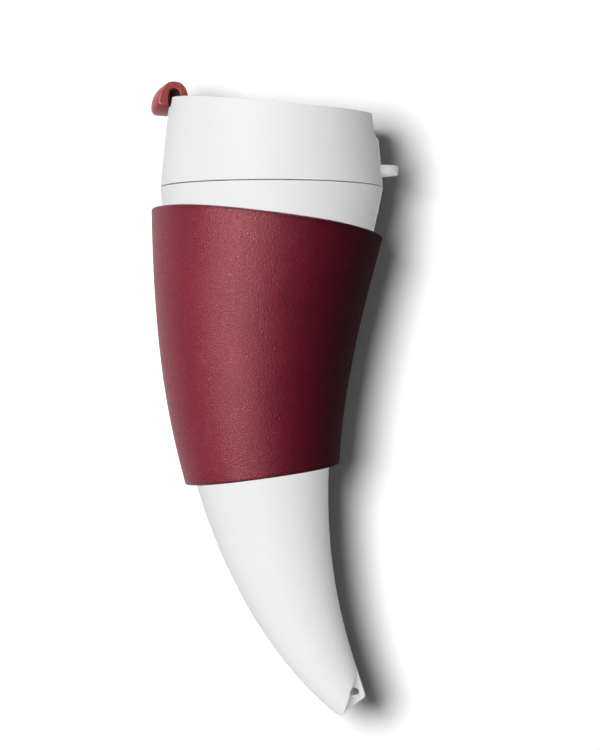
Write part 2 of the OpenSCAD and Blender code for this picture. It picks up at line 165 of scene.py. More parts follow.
# The sleeve, with depths off the horn's outside
SLEEVE_START = 12.6 * MM
SLEEVE_LENGTH = 91 * MM
LINING_IN = 0.3 * MM
LINING_OUT = 1.5 * MM
LINING_INSET = 0.8 * MM
LEATHER_IN = 1.56 * MM
LEATHER_OUT = 3.86 * MM
LEATHER_ROUND = 0.6 * MM
LEATHER_END_ROUND = 1.6 * MM
LEATHER_RINGS = 90
LEATHER_BURNISH = (0.5 * MM, 1.7 * MM)
TOP_BOW = 1.6 * MM
LOW_BOW = 0.7 * MM
LEATHER_WAVE = 0.12 * MM
LEATHER_WAVE_LENGTH = 26 * MM
LEATHER_WAVE_FADE = (1 * MM, 8 * MM)
SEAM_OPEN = math.radians(0.03)
LINING_TURN = math.radians(20)
LINING_ROUND = 0.4 * MM
LINING_RINGS = 60
STITCH_COUNT = 17
STITCH_MARGIN = 5 * MM
STITCH_W = 7 * MM
STITCH_SLANT = math.radians(24)
STITCH_STEPS = 30
PLY_R = 0.32 * MM
PLY_TWIST = 1.9 * MM
PLY_OFF = 0.8 * PLY_R
STITCH_LIFT = 1.1 * PLY_R
STITCH_DIVE = 5 * PLY_R
STITCH_DIVE_POWER = 8

# Sides of round shapes
SIDES = 128
SMALL_SIDES = 64
PLUG_SIDES = 72
PIN_SIDES = 48
PLY_SIDES = 8
EYE_SIDES = 48

# Points nearer than this are welded
WELD = 0.002 * MM

# Angles past which two faces meet in a sharp edge
SHARP_ANGLE = math.radians(32)
STEEP_ANGLE = math.radians(60)
ARM_SHARP = math.radians(40)
THREAD_SHARP = 0.5

# Sizes that several pieces share
AXIS_STEP = HORN_LENGTH / AXIS_STEPS
RIM = Matrix.Translation((0, 0, LID_H)) @ Matrix.Rotation(LID_TILT, 4, "Y")


def lean(u):
    """Angle of the horn's axis off the plumb line, at a share u of its length."""
    return HORN_BEND * u ** BEND_POWER - MOUTH_LEAN


def walk_axis():
    """Points along the horn's axis, from the mouth to the tip."""
    points = [Vector((0, 0, 0))]
    for i in range(AXIS_STEPS):
        angle = lean((i + 0.5) / AXIS_STEPS)
        points.append(points[-1] + AXIS_STEP * Vector((math.sin(angle), 0, -math.cos(angle))))
    return points


AXIS = walk_axis()


def horn_radius(u):
    """Outside radius of the horn at a share u of its length."""
    return TIP_R + (MOUTH_R - TIP_R) * (1 - min(u, 1)) ** TAPER_POWER


def lid_radius(z):
    """Outside radius of the lid at a height over the shoulder."""
    return MOUTH_R - z * math.tan(LID_DRAFT) - z * z / (2 * LID_BOW_R)


RIM_R = lid_radius(LID_H + MOUTH_R * math.sin(LID_TILT))
RIM_BORE_R = RIM_R - RIM_WALL
HOOK_X = RIM_R - RIM_WALL / 2 - HOOK_IN
HOOK_R = HOOK_GAP_R + HOOK_T
HOOK_Z = HOOK_RISE - HOOK_R
TONGUE_X = HOOK_X + HOOK_GAP_R + TONGUE_T
ARM_FLOOR = ARM_RISE - HINGE_DROP - BARREL_R
ARM_TOP = ARM_FLOOR + ARM_T
HOOK_FLOOR = RIB_CLEAR - FRONT_NOTCH_DEPTH
DRINK_HOLE_X = DRINK_HOLE_INSET - RIM_BORE_R
VENT_X = RIM_BORE_R - VENT_INSET
LUG_Y = BARREL_W / 2 + SIDE_CLEAR
NARROW_X = -2 * BARREL_R
WIDE_X = NARROW_X - (ARM_W - BARREL_W)
HOOK_INNER_X = -HOOK_X - HOOK_GAP_R


# Shader maths

class Link:
    """An output socket. Arithmetic on it adds Math nodes to its tree."""

    def __init__(self, finish, socket):
        self.finish = finish
        self.socket = socket

    def math(self, operation, first, second):
        return self.finish.node("ShaderNodeMath", {"operation": operation}, {0: first, 1: second})

    def __add__(self, other):
        return self.math("ADD", self, other)

    __radd__ = __add__

    def __sub__(self, other):
        return self.math("SUBTRACT", self, other)

    def __rsub__(self, other):
        return self.math("SUBTRACT", other, self)

    def __mul__(self, other):
        return self.math("MULTIPLY", self, other)

    __rmul__ = __mul__

    def __or__(self, other):
        return self.math("MAXIMUM", self, other)


class Finish:
    """A material, or the world, and its node tree."""

    def __init__(self, name, kind=bpy.data.materials):
        self.owner = kind.new(name)
        self.owner.use_nodes = True
        self.tree = self.owner.node_tree
        self.tree.nodes.clear()

    def node(self, kind, settings=None, sockets=None, out=0):
        """Adds a node, sets it, fills its sockets with values or links, and returns one of its outputs."""
        node = self.tree.nodes.new(kind)
        for key, value in (settings or {}).items():
            setattr(node, key, value)
        for key, value in (sockets or {}).items():
            if isinstance(value, Link):
                self.tree.links.new(value.socket, node.inputs[key])
            else:
                node.inputs[key].default_value = value
        return Link(self, node.outputs[out]) if node.outputs else None

    def coords(self):
        return self.node("ShaderNodeTexCoord", out="Object")

    def noise(self, at, scale, detail=2.0, roughness=0.5):
        return self.node(
            "ShaderNodeTexNoise", None,
            {"Vector": at, "Scale": scale, "Detail": detail, "Roughness": roughness},
        )

    def ramp(self, factor, low, high):
        """Rises smoothly from 0 at low to 1 at high."""
        return self.node(
            "ShaderNodeMapRange", {"interpolation_type": "SMOOTHSTEP"},
            {"Value": factor, "From Min": low, "From Max": high},
        )

    def blend(self, factor, first, second):
        """Mixes two colours."""
        return self.node(
            "ShaderNodeMix", {"data_type": "RGBA"}, {0: factor, 6: first, 7: second}, out=2,
        )

    def bump(self, height, strength, depth):
        return self.node("ShaderNodeBump", None, {"Height": height, "Strength": strength, "Distance": depth})

    def surface(self, shader, output="ShaderNodeOutputMaterial"):
        self.node(output, None, {"Surface": shader})
        return self.owner

    def skin(self, **sockets):
        """Ends the tree in a Principled shader. Underscores in the names stand for spaces."""
        named = {key.replace("_", " "): value for key, value in sockets.items()}
        return self.surface(self.node("ShaderNodeBsdfPrincipled", None, named))


def rgb(red, green, blue):
    return (red, green, blue, 1)


def grey(value):
    return rgb(value, value, value)


# Finishes

def moulded_plastic(name, colour, deep, roughness, grain, shine):
    """Moulded plastic with a spark-eroded grain: fine specks, a slow drift of colour and of gloss.

    Where a piece has the attribute hollow, the plastic is deeper in colour there, as painted shade, and
    duller.
    """
    f = Finish(name)
    at = f.coords()
    speck = f.noise(at, 3100, 3, 0.65)
    pit = f.ramp(f.noise(at, 1400, 2), 0.3, 0.62)
    drift = f.ramp(f.noise(at, 28, 2), 0.3, 0.7)
    # The attribute hollow marks a recess whose shade is painted: it pushes the colour fully to deep.
    hollow = f.node("ShaderNodeAttribute", {"attribute_name": "hollow"}, out="Fac")
    height = speck * 0.6 + pit * 0.4
    return f.skin(
        Base_Color=f.blend(drift * 0.6 + (1 - pit) * 0.4 + hollow, colour, deep),
        Roughness=roughness + (speck - 0.5) * 0.16 + (drift - 0.5) * 0.05 + hollow * 0.5,
        Specular_IOR_Level=shine,
        Normal=f.bump(height, grain, 0.05 * MM),
    )


def white_plastic(name):
    """The plastic of the horn and of the lid."""
    return moulded_plastic(name, grey(0.875), grey(0.84), roughness=0.5, grain=0.1, shine=0.3)


def wine_leather():
    """Grained leather: pebbles parted by fine creases, a cloudy dye, and burnished edges."""
    f = Finish("wine_leather")
    at = f.coords()
    warp = f.node("ShaderNodeTexNoise", None, {"Vector": at, "Scale": 900, "Detail": 2}, out="Color")
    reach = (0.4 * MM,) * 3
    bent = f.node("ShaderNodeVectorMath", {"operation": "MULTIPLY_ADD"}, {0: warp, 1: reach, 2: at})
    crease = f.node(
        "ShaderNodeTexVoronoi", {"feature": "DISTANCE_TO_EDGE"}, {"Vector": bent, "Scale": 1250},
    )
    pebble = f.ramp(crease, 0.0, 0.34)
    hair = f.noise(at, 3600, 3, 0.6)
    cloud = f.ramp(f.noise(at, 55, 3), 0.32, 0.7)
    wrinkle = f.noise(at, 210, 3, 0.55)
    edge = f.node("ShaderNodeAttribute", {"attribute_name": "edge"}, out="Fac")
    dye = f.blend(cloud, rgb(0.195, 0.0086, 0.0255), rgb(0.225, 0.0108, 0.031))
    grained = f.blend((1 - pebble) * 0.4, dye, rgb(0.085, 0.0035, 0.009))
    height = pebble * 0.7 + hair * 0.35 + wrinkle * 0.2
    return f.skin(
        Base_Color=f.blend(edge * 0.75, grained, rgb(0.075, 0.004, 0.010)),
        Roughness=0.35 + (1 - pebble) * 0.12 + (hair - 0.5) * 0.1 - edge * 0.06,
        Specular_IOR_Level=0.6,
        Specular_Tint=rgb(1, 0.52, 0.52),
        Normal=f.bump(height, 0.75, 0.13 * MM),
    )


def felt(name, colour, deep):
    """Dark felt: matted fibres."""
    f = Finish(name)
    at = f.coords()
    stretch = f.node("ShaderNodeMapping", None, {"Vector": at, "Scale": (1, 1, 0.45)})
    fibre = f.noise(stretch, 2600, 4, 0.7)
    tuft = f.noise(at, 520, 3)
    return f.skin(
        Base_Color=f.blend(f.ramp(fibre * 0.6 + tuft * 0.4, 0.3, 0.7), deep, colour),
        Roughness=0.95,
        Sheen_Weight=0.25,
        Normal=f.bump(fibre + tuft, 0.7, 0.2 * MM),
    )


def waxed_thread():
    """Waxed thread: fine fibres along each ply."""
    f = Finish("wine_thread")
    at = f.coords()
    fibre = f.noise(at, 5200, 3, 0.65)
    return f.skin(
        Base_Color=f.blend(fibre, rgb(0.10, 0.006, 0.013), rgb(0.24, 0.022, 0.04)),
        Roughness=0.5 + (fibre - 0.5) * 0.3,
        Normal=f.bump(fibre, 0.5, 0.06 * MM),
    )


def silicone(name, colour, deep):
    """Silicone: a dusty, faintly uneven rubber."""
    f = Finish(name)
    at = f.coords()
    dust = f.noise(at, 1900, 3, 0.6)
    drift = f.noise(at, 160, 2)
    return f.skin(
        Base_Color=f.blend(dust * 0.5 + drift * 0.5, deep, colour),
        Roughness=0.55 + (dust - 0.5) * 0.2,
        Normal=f.bump(dust, 0.12, 0.05 * MM),
    )


def drawn_steel():
    """A steel pin: fine lines drawn along it."""
    f = Finish("pin_steel")
    at = f.coords()
    lengthwise = f.node("ShaderNodeMapping", None, {"Vector": at, "Scale": (1, 0.03, 1)})
    line = f.noise(lengthwise, 6000, 3, 0.6)
    return f.skin(
        Base_Color=f.blend(line, rgb(0.5, 0.5, 0.51), rgb(0.68, 0.68, 0.69)),
        Metallic=1.0,
        Roughness=0.26 + line * 0.14,
        Normal=f.bump(line, 0.15, 0.02 * MM),
    )


# Mesh tools

def share(value, low, high):
    """How far value is from low to high, from 0 to 1."""
    return min(max((value - low) / (high - low), 0), 1)


def spaced(low, high, steps):
    """Values from low to high in even steps."""
    return [low + (high - low) * k / steps for k in range(steps + 1)]


def sweep(bm, chain, places):
    """Extrudes a chain of edges from place to place, and returns the chain at each place."""
    chains = [chain]
    for here, there in zip(places, places[1:]):
        made = bmesh.ops.extrude_edge_only(bm, edges=chains[-1])["geom"]
        verts = [g for g in made if isinstance(g, bmesh.types.BMVert)]
        fresh = set(verts)
        chains.append([g for g in made if isinstance(g, bmesh.types.BMEdge) and fresh.issuperset(g.verts)])
        bmesh.ops.transform(bm, matrix=there @ here.inverted(), verts=verts)
    return chains


def circle(bm, place, sides=SIDES, cap=False):
    """Adds a unit circle at a place, and returns its edges."""
    verts = bmesh.ops.create_circle(bm, cap_ends=cap, segments=sides, radius=1, matrix=place)["verts"]
    ring = set(verts)
    return [e for e in {e for v in verts for e in v.link_edges} if ring.issuperset(e.verts)]


def turned(places, sides=SIDES, hollow=False):
    """A turned solid: a circle swept from place to place, capped or, if hollow, closed on itself."""
    bm = bmesh.new()
    route = places + places[:1] if hollow else places
    chains = sweep(bm, circle(bm, places[0], sides, cap=not hollow), route)
    if not hollow:
        bmesh.ops.contextual_create(bm, geom=chains[-1])
    bmesh.ops.remove_doubles(bm, verts=bm.verts, dist=WELD)
    bmesh.ops.recalc_face_normals(bm, faces=bm.faces)
    return bm, chains


def drawn_out(outline, places):
    """A solid with a flat outline drawn out from place to place."""
    bm = bmesh.new()
    face = bm.faces.new([bm.verts.new(point) for point in outline])
    bmesh.ops.transform(bm, matrix=places[0], verts=bm.verts)
    chains = sweep(bm, list(face.edges), places)
    bmesh.ops.contextual_create(bm, geom=chains[-1])
    bmesh.ops.recalc_face_normals(bm, faces=bm.faces)
    return bm


def arc(centre, radius, start, end, steps=18):
    """Points along an arc, from one angle to another in degrees."""
    turns = [math.radians(angle) for angle in spaced(start, end, steps)]
    return [(centre[0] + radius * math.cos(a), centre[1] + radius * math.sin(a)) for a in turns]


def level(z, radius):
    """Places a unit circle level round the Z axis."""
    return Matrix.Translation((0, 0, z)) @ Matrix.Scale(radius, 4)


def round_edges(bm, edges, offset, segments=4):
    """Rounds edges off."""
    bmesh.ops.bevel(
        bm, geom=edges, offset=offset, offset_type="OFFSET", segments=segments, profile=0.5,
        affect="EDGES", clamp_overlap=True, material=-1,
    )


def sharp_edges(bm, angle=SHARP_ANGLE):
    return [e for e in bm.edges if len(e.link_faces) == 2 and e.calc_face_angle(0) > angle]


def block(low, high):
    """A box between two corners."""
    bm = bmesh.new()
    bmesh.ops.create_cube(bm, size=1)
    size = Vector(high) - Vector(low)
    bmesh.ops.scale(bm, vec=size, verts=bm.verts)
    bmesh.ops.translate(bm, vec=(Vector(high) + Vector(low)) / 2, verts=bm.verts)
    return bm


def move(bm, place):
    bmesh.ops.transform(bm, matrix=place, verts=bm.verts)
    return bm


def as_object(name, bm):
    """Turns a bmesh into an object at the origin."""
    mesh = bpy.data.meshes.new(name)
    bm.to_mesh(mesh)
    bm.free()
    made = bpy.data.objects.new(name, mesh)
    bpy.context.scene.collection.objects.link(made)
    return made


def carve(bm, cutters, operation="DIFFERENCE"):
    """Cuts each cutter out of a solid, or joins it on, and returns what that makes as a new bmesh."""
    body = as_object("carved", bm)
    for cutter_bm in cutters:
        cutter = as_object("cutter", cutter_bm)
        cut = body.modifiers.new("cut", "BOOLEAN")
        cut.operation = operation
        cut.solver = "EXACT"
        cut.object = cutter
        mesh = bpy.data.meshes.new_from_object(body.evaluated_get(bpy.context.evaluated_depsgraph_get()))
        body.modifiers.clear()
        body.data = mesh
        bpy.data.objects.remove(cutter)
    left = bmesh.new()
    left.from_mesh(body.data)
    bpy.data.objects.remove(body)
    return left


def drill(place, radius, depth, flare):
    """A drill for a hole along Z with rounded mouths, from -depth / 2 to depth / 2 at its place."""
    rounds = [(flare * (1 - math.sin(a)), flare * math.cos(a)) for a in (0, 0.4, 0.8, 1.2, math.pi / 2)]
    lower = [(-depth / 2 + flare - inward, radius + out) for out, inward in rounds]
    upper = [(depth / 2 - flare + inward, radius + out) for out, inward in reversed(rounds)]
    tail = depth / 4
    stack = [(-depth / 2 - tail, radius + flare)] + lower + upper + [(depth / 2 + tail, radius + flare)]
    return move(turned([level(z, r) for z, r in stack], SMALL_SIDES)[0], place)


def piece(name, bm, finish, body, slot, *nodes):
    """Makes a bmesh a piece of the object, with its finish, on its body and in place of its nodes.

    Light that bounces off one piece doesn't reach the others.
    """
    bmesh.ops.remove_doubles(bm, verts=bm.verts, dist=WELD)
    for face in bm.faces:
        face.smooth = True
    for edge in bm.edges:
        edge.smooth = edge.calc_face_angle(0) < SHARP_ANGLE
    made = as_object(name, bm)
    made.data.materials.append(finish)
    weighted = made.modifiers.new("even_normals", "WEIGHTED_NORMAL")
    weighted.keep_sharp = True
    made.visible_diffuse = False
    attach(made, body)
    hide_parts(*nodes)
    return made


# Horn

def ring_place(u, radius):
    """Places a unit circle round the horn's axis: level at the mouth, square with the axis further down."""
    spot = u * AXIS_STEPS
    k = min(int(spot), AXIS_STEPS - 1)
    turn = -lean(u) * min(u / LEVEL_SHARE, 1)
    point = AXIS[k].lerp(AXIS[k + 1], spot - k)
    return Matrix.Translation(point) @ Matrix.Rotation(turn, 4, "Y") @ Matrix.Scale(radius, 4)


def horn_shell():
    """The horn, from its cut tip up the outside, over the neck, and down to the end of the hollow."""
    outer_rings = 90
    tip_crowding = 1.4
    inner_rings = 40
    hollow_start = 0.03
    cap_rings = 10
    short_of_pole = 0.3
    shares = [1 - (k / outer_rings) ** tip_crowding for k in range(outer_rings + 1)]
    outside = [ring_place(u, horn_radius(u)) for u in shares]
    under_r = horn_radius(-LEDGE_LOW / HORN_LENGTH) - HORN_WALL
    neck = [
        level(0, NECK_R), level(NECK_H, NECK_R), level(NECK_H, NECK_BORE_R),
        level(LEDGE_LOW, NECK_BORE_R), level(LEDGE_LOW, under_r),
    ]
    hollow_end = 1 - TIP_SOLID / HORN_LENGTH
    end_r = horn_radius(hollow_end) - HORN_WALL
    cap_start = hollow_end - end_r / HORN_LENGTH
    inside = [
        ring_place(u, horn_radius(u) - HORN_WALL) for u in spaced(hollow_start, cap_start, inner_rings)
    ]
    cap = []
    for k in range(1, cap_rings + 1):
        angle = math.pi / 2 * k / (cap_rings + short_of_pole)
        u = cap_start + math.sin(angle) * end_r / HORN_LENGTH
        cap.append(ring_place(u, math.cos(angle) * (horn_radius(u) - HORN_WALL)))
    bm, chains = turned(outside + neck + inside + cap)
    shoulder = outer_rings
    round_edges(bm, chains[0], TIP_ROUND)
    round_edges(bm, chains[shoulder], SHOULDER_ROUND)
    round_edges(bm, chains[shoulder + 2] + chains[shoulder + 3], HORN_EDGE)
    round_edges(bm, chains[shoulder + 1], HORN_EDGE)
    return bm


def strap_place():
    """The middle of the tip's strap hole, turned so that X runs square to the web's root."""
    tip = ring_place(1, 1) @ Matrix.Translation((STRAP_HOLE_OFFSET, 0, STRAP_HOLE_INSET))
    return tip @ Matrix.Rotation(WEB_ANGLE, 4, "Y")


def web_cutter(side):
    """What is cut from one side of the tip to leave the flat web, with a fillet at the web's root."""
    reach = TIP_SOLID
    root = -WEB_ROOT - STRAP_HOLE_R
    near, far = side * WEB_T / 2, side * reach
    bm = block((root, min(near, far), -reach), (reach, max(near, far), reach))
    corner = [
        e for e in bm.edges
        if all(abs(v.co.x - root) < WELD and abs(v.co.y - near) < WELD for v in e.verts)
    ]
    round_edges(bm, corner, WEB_FILLET, segments=6)
    return move(bm, strap_place())


def thread_ridge(radius, way, turn_low, turn_high, shift):
    """A thread's ridge on a wall, outwards with way 1 and inwards with way -1, fading at its ends."""
    foot = (THREAD_W + THREAD_H) / 2 + THREAD_SINK
    crest = (THREAD_W - THREAD_H) / 2
    section = [(-THREAD_SINK, -foot), (THREAD_H, -crest), (THREAD_H, crest), (-THREAD_SINK, foot)]
    steps = 110
    end_share = 0.25
    fade_rate = 7
    places = []
    for k, angle in enumerate(spaced(turn_low, turn_high, steps)):
        fade = min(1, end_share + fade_rate * min(k, steps - k) / steps)
        sink = (1 - fade) * (THREAD_H + THREAD_SINK)
        places.append(
            Matrix.Rotation(angle, 4, "Z")
            @ Matrix.Translation((radius - way * sink, 0, shift + THREAD_LEAD * angle / math.tau))
            @ Matrix.Diagonal((1, 1, fade, 1))
        )
    bm = drawn_out([(way * out, 0, up) for out, up in section], places)
    round_edges(bm, sharp_edges(bm, THREAD_SHARP), THREAD_ROUND, segments=2)
    return bm


# Lid

def lid_wall():
    """The lid's outer wall, with a slanted rim, a shallow notch for the hook and a deep one opposite.

    It is turned past its rim, cut off along the rim's plane, and crowned.
    """
    top = LID_H + MOUTH_R / 4
    hip = LID_H - DECK_DEPTH - 3 * DECK_T
    rises = spaced(LID_SEAM, top, 16)
    outside = [level(z, lid_radius(z)) for z in rises]
    inside = [level(z, lid_radius(z) - RIM_WALL) for z in reversed(rises) if z > hip]
    foot = [
        level(hip - DECK_T, COLLAR_R), level(COLLAR_TOP, COLLAR_R), level(COLLAR_TOP, COVER_BORE_R),
        level(LID_SEAM, COVER_BORE_R),
    ]
    bm, _ = turned(outside + inside + foot, hollow=True)
    sole = [
        e for e in bm.edges
        if all(v.co.z < LID_SEAM + WELD and v.co.xy.length > COVER_BORE_R + WELD for v in e.verts)
    ]
    round_edges(bm, sole, LID_FOOT_ROUND, segments=3)
    everything = bm.verts[:] + bm.edges[:] + bm.faces[:]
    bmesh.ops.bisect_plane(
        bm, geom=everything, plane_co=RIM.translation, plane_no=RIM.col[2].xyz, clear_outer=True,
    )
    rim = [e for e in bm.edges if e.is_boundary]
    bmesh.ops.bridge_loops(bm, edges=rim)
    bmesh.ops.recalc_face_normals(bm, faces=bm.faces)
    flat = RIM.inverted()
    lips = [e for e in sharp_edges(bm) if all(abs((flat @ v.co).z) < WELD for v in e.verts)]
    round_edges(bm, lips, RIM_ROUND, segments=5)
    for v in bm.verts:
        spot = flat @ v.co
        spot.z -= share(spot.z, -DECK_DEPTH, 0) * spot.y ** 2 / (2 * RIM_CROWN_R)
        v.co = RIM @ spot
    return carve(bm, [
        notch_cutter(-1, FRONT_NOTCH_W, FRONT_NOTCH_DEPTH, FRONT_CORNER_R),
        notch_cutter(1, BACK_NOTCH_W, BACK_NOTCH_DEPTH, BACK_CORNER_R),
    ])


def notch_cutter(side, width, depth, corner_r):
    """What is cut through the rim on one side, with round lower corners."""
    near, far = side * (HOOK_X - 2 * HOOK_R), side * (HOOK_X + MOUTH_R)
    bm = block((min(near, far), -width / 2, -depth), (max(near, far), width / 2, LID_H))
    corners = [
        e for e in bm.edges
        if all(v.co.z < 0 for v in e.verts) and abs(e.verts[0].co.x - e.verts[1].co.x) > MOUTH_R / 2
    ]
    round_edges(bm, corners, corner_r, segments=10)
    return move(bm, RIM)


def lid_deck():
    """The deck inside the rim, with the drink hole and the vent."""
    floor_r = RIM_BORE_R + RIM_WALL / 2
    bm, _ = turned([level(-DECK_DEPTH - DECK_T, floor_r), level(-DECK_DEPTH, floor_r)])
    middle = -DECK_DEPTH - DECK_T / 2
    left = carve(bm, [
        drill(Matrix.Translation((DRINK_HOLE_X, 0, middle)), DRINK_HOLE_R, DECK_T, DRINK_HOLE_FLARE),
        drill(Matrix.Translation((VENT_X, 0, middle)), VENT_R, DECK_T, VENT_FLARE),
    ])
    return move(left, RIM)


def hinge_lugs():
    """The two lugs that carry the hinge pin, round at the top."""
    both = bmesh.new()
    drop = DECK_DEPTH + DECK_T / 2 - HINGE_DROP
    for side in (-1, 1):
        face_on = Matrix.Translation((0, side * (LUG_Y + LUG_T / 2) + LUG_T / 2, -HINGE_DROP))
        upright = face_on @ Matrix.Rotation(math.pi / 2, 4, "X")
        bm, _ = turned([upright @ level(z, BARREL_R) for z in (0, LUG_T)], SMALL_SIDES)
        low = [v for v in bm.verts if v.co.z < -HINGE_DROP - WELD]
        bmesh.ops.translate(bm, vec=(0, 0, BARREL_R - drop), verts=low)
        round_edges(bm, sharp_edges(bm), HINGE_ROUND, segments=3)
        hole = upright @ Matrix.Translation((0, 0, LUG_T / 2))
        lug = as_object("lug", carve(bm, [drill(hole, PIN_R + PIN_FIT, LUG_T, PIN_HOLE_FLARE)]))
        both.from_mesh(lug.data)
        bpy.data.objects.remove(lug)
    return move(both, RIM)


def strap_eye():
    """The flat eye at the lid's side, with its strap hole."""
    back_x = COVER_BORE_R + RIM_WALL / 2
    long_r = MOUTH_R + EYE_REACH - back_x
    half_oval = [(back_x + long_r * x, EYE_W / 2 * y) for x, y in arc((0, 0), 1, -90, 90, EYE_SIDES)]
    ends = [Matrix.Identity(4), Matrix.Translation((0, 0, EYE_T))]
    bm = drawn_out([(x, y, EYE_Z) for x, y in half_oval], ends)
    rims = [
        e for e in sharp_edges(bm, STEEP_ANGLE)
        if max(v.co.x for v in e.verts) > back_x + WELD and abs(e.verts[0].co.z - e.verts[1].co.z) < WELD
    ]
    round_edges(bm, rims, EYE_ROUND, segments=5)
    hole = Matrix.Translation((MOUTH_R + EYE_REACH / 2, 0, EYE_Z + EYE_T / 2))
    return carve(bm, [drill(hole, EYE_HOLE_R, EYE_T, EYE_FLARE)])


def lid_collar():
    """The threaded collar pressed into the lid, with the flange over the gasket."""
    bm, _ = turned([
        level(COLLAR_LOW, COLLAR_R), level(COLLAR_LOW, COVER_BORE_R), level(COLLAR_TOP, COVER_BORE_R),
        level(COLLAR_TOP, COLLAR_R - FLANGE_W), level(COLLAR_TOP - FLANGE_T, COLLAR_R - FLANGE_W),
        level(COLLAR_TOP - FLANGE_T, COLLAR_R),
    ], hollow=True)
    round_edges(bm, sharp_edges(bm), COLLAR_ROUND, segments=3)
    return bm


def lid_gasket():
    """The flat gasket that closes on the neck."""
    bm, _ = turned([
        level(NECK_H, NECK_BORE_R), level(NECK_H, GASKET_R),
        level(NECK_H + GASKET_T, GASKET_R), level(NECK_H + GASKET_T, NECK_BORE_R),
    ], hollow=True)
    round_edges(bm, sharp_edges(bm), GASKET_ROUND)
    return bm


# Flip stopper

def bow_depth(y, sag):
    """How far back an arc across the arm lies at a distance y from its middle, with a sag at its sides."""
    radius = ((ARM_W / 2) ** 2 + sag ** 2) / (2 * sag)
    return radius - math.sqrt(radius ** 2 - y ** 2)


def arm_outline():
    """The arm's side view: the tongue, over the hook, along the plate to the hinge, and back underneath."""
    bulge_r = TONGUE_X - HOOK_X
    plate_start = 2 * HOOK_T + HOOK_GAP_R - HOOK_X
    plate_end = HOOK_GAP_R - HOOK_X + HOOK_T / 2
    return (
        arc((TONGUE_EDGE - TONGUE_X, TONGUE_EDGE - TONGUE_DROP), TONGUE_EDGE, 270, 180, 8)
        + arc((-HOOK_X, HOOK_RISE - bulge_r), bulge_r, 180, 90)
        + arc((-HOOK_X, HOOK_Z), HOOK_R, 85, 0)
        + [(x, ARM_TOP) for x in (plate_start, WIDE_X, NARROW_X, 0)]
        + [(x, ARM_FLOOR) for x in (0, NARROW_X, WIDE_X, plate_end)]
        + arc((-HOOK_X, HOOK_Z), HOOK_GAP_R, 0, 180)
        + [(HOOK_INNER_X, z) for z in (HOOK_FLOOR / 2, HOOK_FLOOR, -TONGUE_DROP)]
    )


def bend_arm(bm):
    """Bows the tongue, narrows the plate at the hinge, and keeps the tongue clear of the lid's wall."""
    narrow = BARREL_W / 2 - SIDE_CLEAR
    for v in bm.verts:
        under = v.co.z < HOOK_FLOOR - WELD and abs(v.co.x - HOOK_INNER_X) < WELD
        out = share(-v.co.x, HOOK_X + HOOK_GAP_R, TONGUE_X)
        low = share(HOOK_Z - v.co.z, 0, HOOK_Z + TONGUE_DROP) if v.co.x < -HOOK_X else 0
        thin = share(v.co.x, WIDE_X, NARROW_X)
        v.co.x += out * bow_depth(v.co.y, TONGUE_BOW)
        v.co.z += low * bow_depth(v.co.y, TONGUE_ROUND)
        v.co.y *= 1 - thin * (1 - 2 * narrow / ARM_W)
        if under:
            wall_r = lid_radius((RIM @ v.co).z) + TONGUE_CLEAR
            reach = math.sqrt(wall_r ** 2 - v.co.y ** 2) + v.co.z * math.sin(LID_TILT)
            v.co.x = min(v.co.x, -reach / math.cos(LID_TILT))
    bmesh.ops.recalc_face_normals(bm, faces=bm.faces)


def mark_arch_painted_shade(bm):
    """Marks the inside of the hook's arch, which the finish shows deeper in colour, as painted shade, and
    duller.
    """
    hollow = bm.verts.layers.float.new("hollow")
    for v in bm.verts:
        off_axis = Vector((v.co.x + HOOK_X, max(v.co.z - HOOK_Z, 0)))
        v[hollow] = off_axis.length < HOOK_GAP_R + WELD


def flip_arm():
    """The red arm: a plate from the hinge, a hook over the rim with a rib in it, and a bowed tongue."""
    slices = 24
    places = [Matrix.Translation((0, ARM_W * k / slices, 0)) for k in range(slices + 1)]
    bm = drawn_out([(x, -ARM_W / 2, z) for x, z in arm_outline()], places)
    bend_arm(bm)
    round_edges(bm, sharp_edges(bm, ARM_SHARP), ARM_ROUND)
    across = Matrix.Translation((0, 0, -HINGE_DROP)) @ Matrix.Rotation(-math.pi / 2, 4, "X")
    barrel, _ = turned([across @ level(z, BARREL_R) for z in (-BARREL_W / 2, BARREL_W / 2)], SMALL_SIDES)
    round_edges(barrel, sharp_edges(barrel), HINGE_ROUND, segments=3)
    sunk = HOOK_GAP_R + HOOK_T / 4
    rib = block(
        (-HOOK_X - sunk, -HOOK_RIB_W / 2, HOOK_FLOOR), (sunk - HOOK_X, HOOK_RIB_W / 2, HOOK_Z + HOOK_GAP_R),
    )
    whole = carve(bm, [barrel, rib], "UNION")
    stem_place = Matrix.Translation((DRINK_HOLE_X, 0, (ARM_TOP + ARM_FLOOR) / 2))
    left = carve(whole, [
        drill(across, PIN_R + PIN_CLEAR, BARREL_W, PIN_HOLE_FLARE),
        drill(stem_place, PLUG_STEM_R + PIN_CLEAR, ARM_T, PIN_HOLE_FLARE),
    ])
    # Paints shade into the inside of the hook's arch.
    mark_arch_painted_shade(left)
    return move(left, RIM)


def drink_plug():
    """The plug: a tapered nose, a sealing flange, a neck, and a head that snaps through the arm."""
    flange_top = PLUG_FLANGE_T - DECK_DEPTH
    stack = [
        (-DECK_DEPTH - DECK_T, PLUG_TIP_R), (-DECK_DEPTH, PLUG_R), (-DECK_DEPTH, PLUG_FLANGE_R),
        (flange_top, PLUG_FLANGE_R), (flange_top, PLUG_NECK_R), (ARM_FLOOR, PLUG_NECK_R),
        (ARM_FLOOR, PLUG_STEM_R), (ARM_TOP, PLUG_STEM_R), (ARM_TOP, PLUG_HEAD_R),
        (ARM_TOP + PLUG_FLANGE_T, PLUG_STEM_R),
    ]
    bm, _ = turned([level(z, r) for z, r in stack], PLUG_SIDES)
    round_edges(bm, sharp_edges(bm), PLUG_ROUND, segments=3)
    return move(bm, RIM @ Matrix.Translation((DRINK_HOLE_X, 0, 0)))


